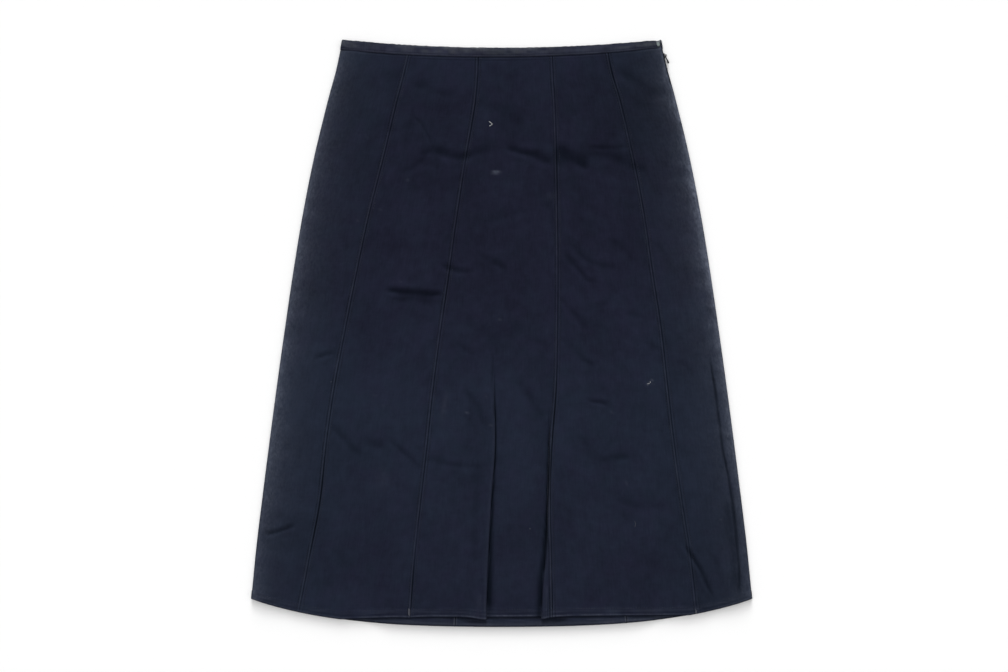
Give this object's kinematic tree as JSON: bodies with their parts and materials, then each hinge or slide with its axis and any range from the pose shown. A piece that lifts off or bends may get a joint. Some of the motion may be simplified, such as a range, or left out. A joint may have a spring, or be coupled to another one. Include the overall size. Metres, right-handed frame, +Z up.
{
  "type": "gored skirt",
  "caption": "Knee-length gored A-line skirt in navy cotton twill with a soft inverted front pleat, narrow waistband and side zip, laid flat face up.",
  "frame": {"origin": "middle of the skirt's footprint, on the surface it lies on", "axes": "+X across the skirt towards the zip, +Y up its length to the waist, +Z up out of the front of the skirt"},
  "size_m": [0.576, 0.674, 0.0064],
  "materials": {
    "front_twill": "soft navy cotton twill, slightly faded at seams, folds and hem",
    "back_twill": "the same navy cotton twill, plain",
    "waistband_twill": "navy cotton twill folded double and edge stitched",
    "zip_tape": "woven navy tape with a nylon coil",
    "zip_metal": "black enamelled die-cast metal, worn at the edges",
    "hook_wire": "dull plated wire"
  },
  "bodies": {
    "skirt": {"front_gore_1": "front_twill", "front_gore_2": "front_twill", "front_gore_3": "front_twill", "front_gore_4": "front_twill", "front_gore_5": "front_twill", "back_gore_1": "back_twill", "back_gore_2": "back_twill", "back_gore_3": "back_twill", "back_gore_4": "back_twill", "back_gore_5": "back_twill", "waistband_front": "waistband_twill", "waistband_back": "waistband_twill", "zip": "zip_tape", "zip_slider": "zip_metal", "hook": "hook_wire", "eye": "hook_wire"},
    "pull": {"zip_pull": "zip_metal"}
  },
  "joints": [
    {"name": "pull_swing", "type": "hinge", "parent": "skirt", "child": "pull", "pos_m": [0.18821, 0.31942, 0.0024], "axis": [0, 0, 1], "range_deg": [-5, 150]}
  ]
}
